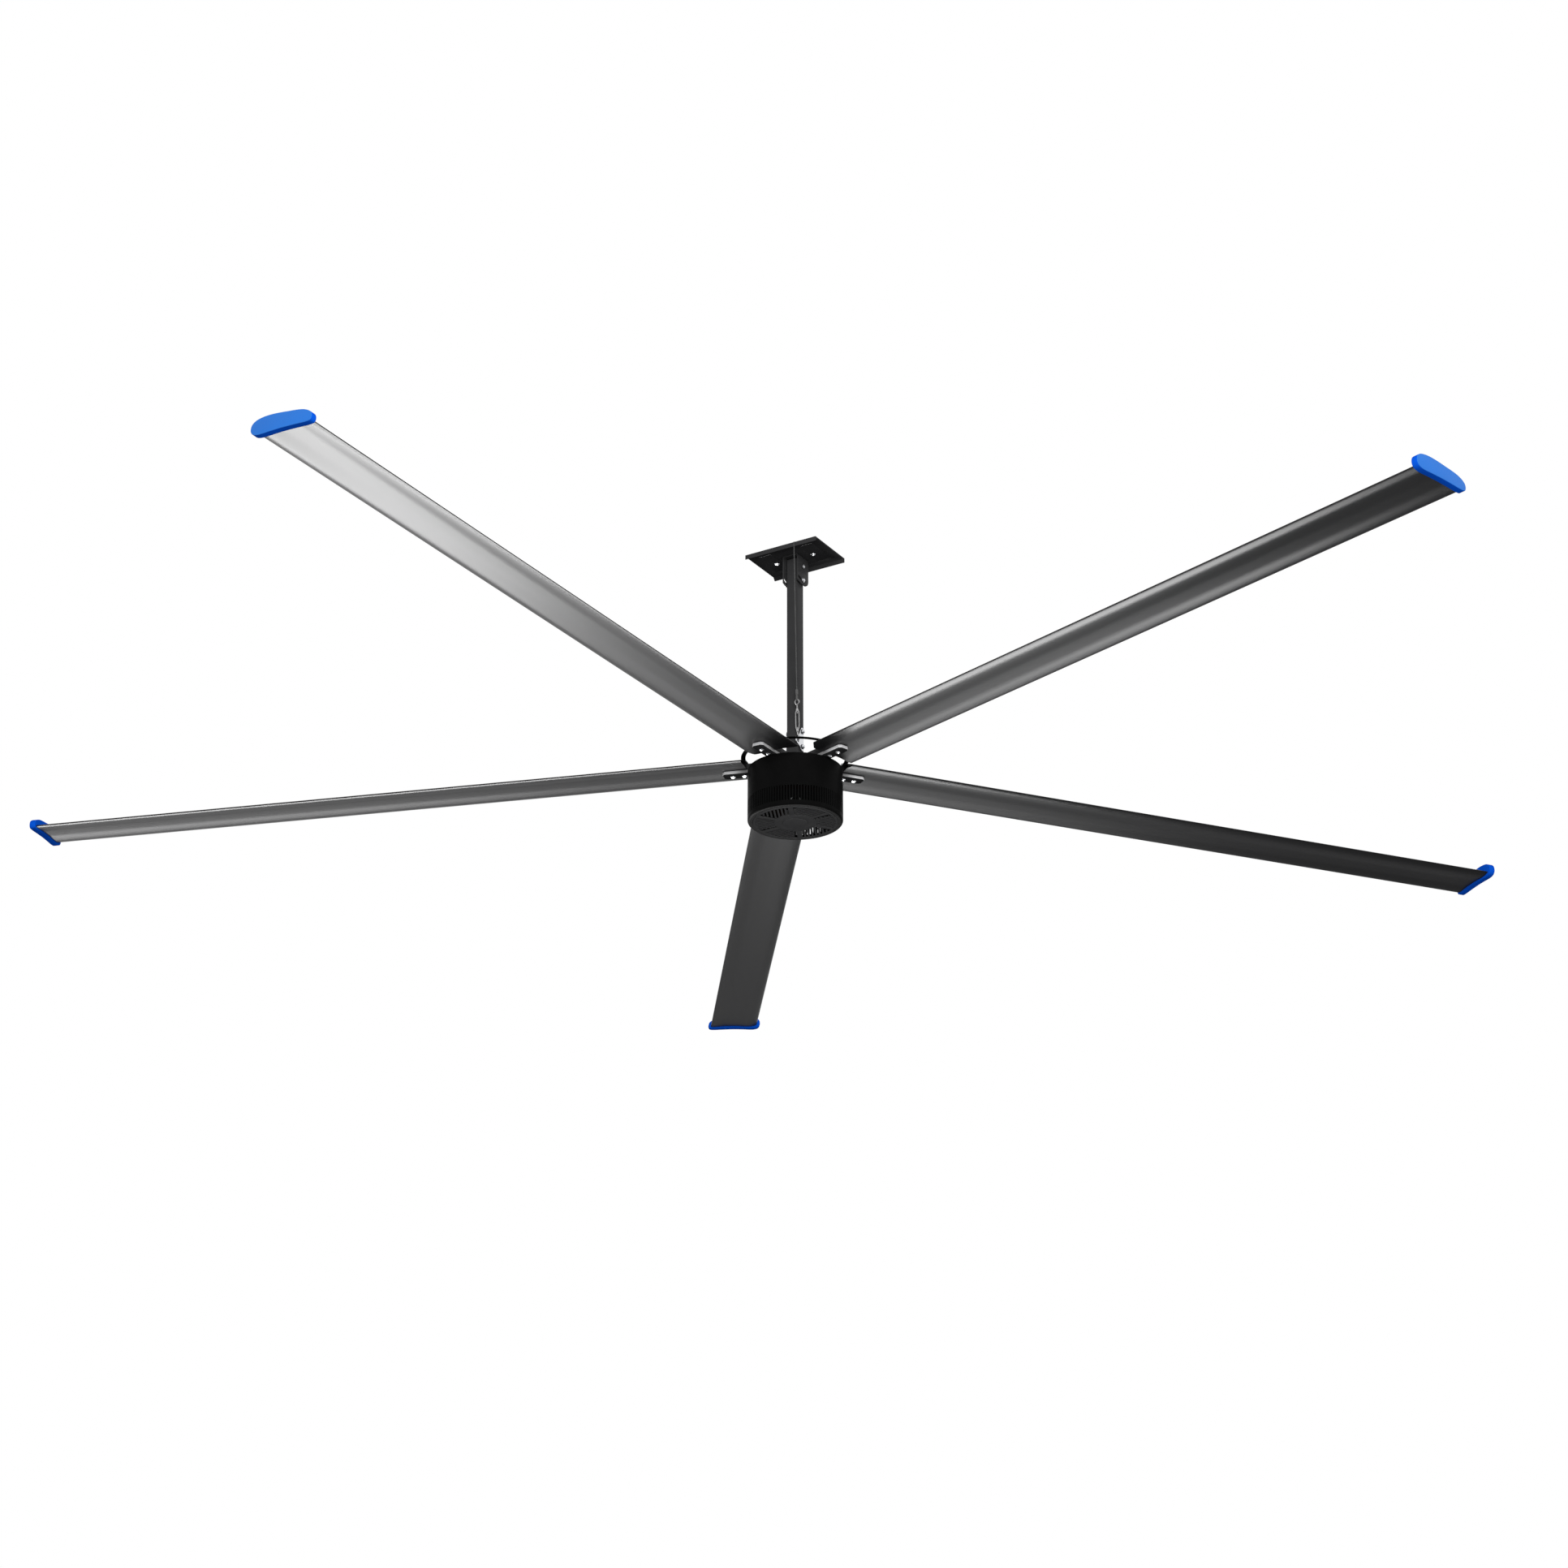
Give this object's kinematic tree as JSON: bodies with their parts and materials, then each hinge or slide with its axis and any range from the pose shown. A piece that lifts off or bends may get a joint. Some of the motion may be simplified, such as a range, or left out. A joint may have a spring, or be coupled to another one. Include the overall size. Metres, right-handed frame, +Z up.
{
  "type": "high volume low speed ceiling fan",
  "caption": "Large industrial ceiling fan: long extruded blades with blue end caps on a direct drive motor, under a square down tube on a tilting ceiling bracket, with a safety cable.",
  "frame": {"origin": "centre of the ceiling plate's top face", "axes": "+Z up out of the ceiling plate into the ceiling; +X along the plate's long side and the tilt axis; the tube's foot swings towards -Y"},
  "size_m": [4.7369, 4.5112, 0.8987],
  "materials": {
    "charcoal_paint": "satin charcoal powder coat on steel",
    "black_paint": "satin black paint on aluminium",
    "blade_grey": "dark grey anodised extrusion, drawn lengthwise",
    "blue_plastic": "blue moulded plastic, soft gloss",
    "bright_zinc": "bright zinc plating",
    "machined_steel": "turned steel",
    "laminated_iron": "stacked laminations",
    "enamelled_copper": "enamelled copper wire",
    "plated_magnets": "nickel plated magnets"
  },
  "bodies": {
    "ceiling_mount": {"ceiling_plate": "charcoal_paint", "ceiling_bolt_1": "bright_zinc", "ceiling_bolt_2": "bright_zinc", "swivel_bracket": "charcoal_paint"},
    "hanging_tube": {"down_tube": "charcoal_paint", "pivot_bolt": "bright_zinc", "clamp_bolt": "bright_zinc", "foot_plate": "charcoal_paint", "upper_tube_bolt": "bright_zinc", "lower_tube_bolt": "bright_zinc", "safety_lug": "bright_zinc", "motor_shaft": "machined_steel", "upper_bearing": "machined_steel", "lower_bearing": "machined_steel", "shaft_nut": "machined_steel", "stator_core": "laminated_iron", "stator_winding": "enamelled_copper"},
    "rotor": {"motor_housing": "black_paint", "hub_plate": "black_paint", "magnet_ring": "plated_magnets", "bottom_grille": "black_paint", "centre_cap": "black_paint", "retention_ring": "black_paint", "hub_arm_1": "charcoal_paint", "hub_arm_2": "charcoal_paint", "hub_arm_3": "charcoal_paint", "hub_arm_4": "charcoal_paint", "hub_arm_5": "charcoal_paint", "blade_bracket_1": "charcoal_paint", "blade_bracket_2": "charcoal_paint", "blade_bracket_3": "charcoal_paint", "blade_bracket_4": "charcoal_paint", "blade_bracket_5": "charcoal_paint", "blade_1": "blade_grey", "blade_2": "blade_grey", "blade_3": "blade_grey", "blade_4": "blade_grey", "blade_5": "blade_grey", "end_cap_1": "blue_plastic", "end_cap_2": "blue_plastic", "end_cap_3": "blue_plastic", "end_cap_4": "blue_plastic", "end_cap_5": "blue_plastic", "inner_blade_bolt_1": "bright_zinc", "inner_blade_bolt_2": "bright_zinc", "inner_blade_bolt_3": "bright_zinc", "inner_blade_bolt_4": "bright_zinc", "inner_blade_bolt_5": "bright_zinc", "outer_blade_bolt_1": "bright_zinc", "outer_blade_bolt_2": "bright_zinc", "outer_blade_bolt_3": "bright_zinc", "outer_blade_bolt_4": "bright_zinc", "outer_blade_bolt_5": "bright_zinc"},
    "hook": {"turnbuckle_hook": "bright_zinc"},
    "turnbuckle": {"turnbuckle_frame": "bright_zinc"},
    "cable": {"turnbuckle_eye": "bright_zinc", "safety_cable": "bright_zinc"}
  },
  "joints": [
    {"name": "mount_tilt", "type": "hinge", "parent": "ceiling_mount", "child": "hanging_tube", "pos_m": [0, 0, -0.0405], "axis": [-1, 0, 0], "range_deg": [0, 28]},
    {"name": "rotor_spin", "type": "hinge", "parent": "hanging_tube", "child": "rotor", "pos_m": [0, 0, -0.714], "axis": [0, 0, 1], "continuous": true},
    {"name": "hook_swing", "type": "hinge", "parent": "hanging_tube", "child": "hook", "pos_m": [0.02405, -0.025, -0.6366], "axis": [0.9876, 0.1545, -0.0264], "range_deg": [0, 1.6]},
    {"name": "turnbuckle_travel", "type": "slide", "parent": "hook", "child": "turnbuckle", "axis": [-0.043, 0.1049, -0.9935], "range_m": [-0.004, 0.0055]},
    {"name": "cable_take_up", "type": "slide", "parent": "turnbuckle", "child": "cable", "axis": [-0.043, 0.1049, -0.9935], "range_m": [-0.004, 0.0055]}
  ],
  "couplings": [
    {"joint": "hook_swing", "follows": "mount_tilt", "ratio": 0.0553},
    {"joint": "cable_take_up", "follows": "turnbuckle_travel", "ratio": 1}
  ]
}
